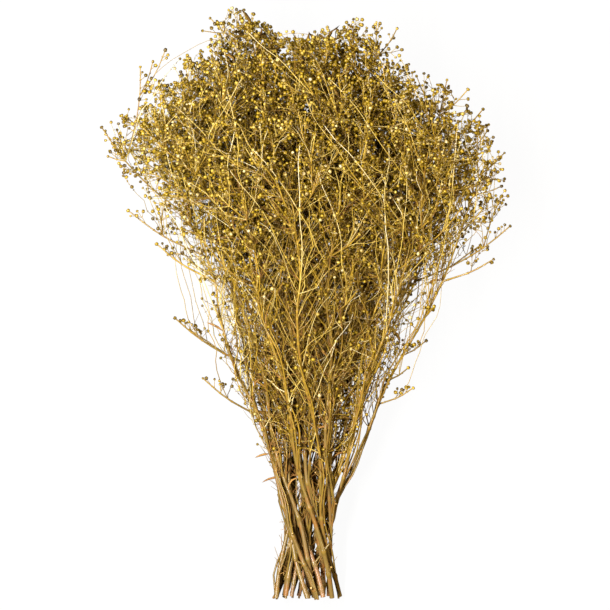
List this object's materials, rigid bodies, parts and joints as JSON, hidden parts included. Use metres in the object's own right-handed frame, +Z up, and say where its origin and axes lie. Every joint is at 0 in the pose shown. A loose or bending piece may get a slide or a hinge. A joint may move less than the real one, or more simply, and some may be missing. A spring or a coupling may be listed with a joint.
{
  "type": "dried gypsophila bunch",
  "caption": "Loose hand-spiralled bunch of dried gypsophila stems with finely branched crowns and small round seed heads, lying on its side.",
  "frame": {"origin": "centre of the bunch's footprint on the surface that it lies on", "axes": "+Z up from the surface, +Y along the bunch from its cut ends to the top of its crown, +X to the right when it is seen from above with the crown away from the viewer"},
  "size_m": [0.4132, 0.6023, 0.2117],
  "materials": {
    "dried_stem": "matte",
    "seed_head": "matte",
    "dry_bract": "matte"
  },
  "bodies": {
    "root": {"stem_01": "dried_stem", "stem_02": "dried_stem", "stem_03": "dried_stem", "stem_04": "dried_stem", "stem_05": "dried_stem", "stem_06": "dried_stem", "stem_07": "dried_stem", "stem_08": "dried_stem", "stem_09": "dried_stem", "stem_10": "dried_stem", "stem_11": "dried_stem", "stem_12": "dried_stem", "stem_13": "dried_stem", "stem_14": "dried_stem", "stem_15": "dried_stem", "stem_16": "dried_stem", "stem_17": "dried_stem", "stem_18": "dried_stem", "stem_19": "dried_stem", "stem_20": "dried_stem", "stem_21": "dried_stem", "stem_22": "dried_stem"}
  },
  "joints": []
}
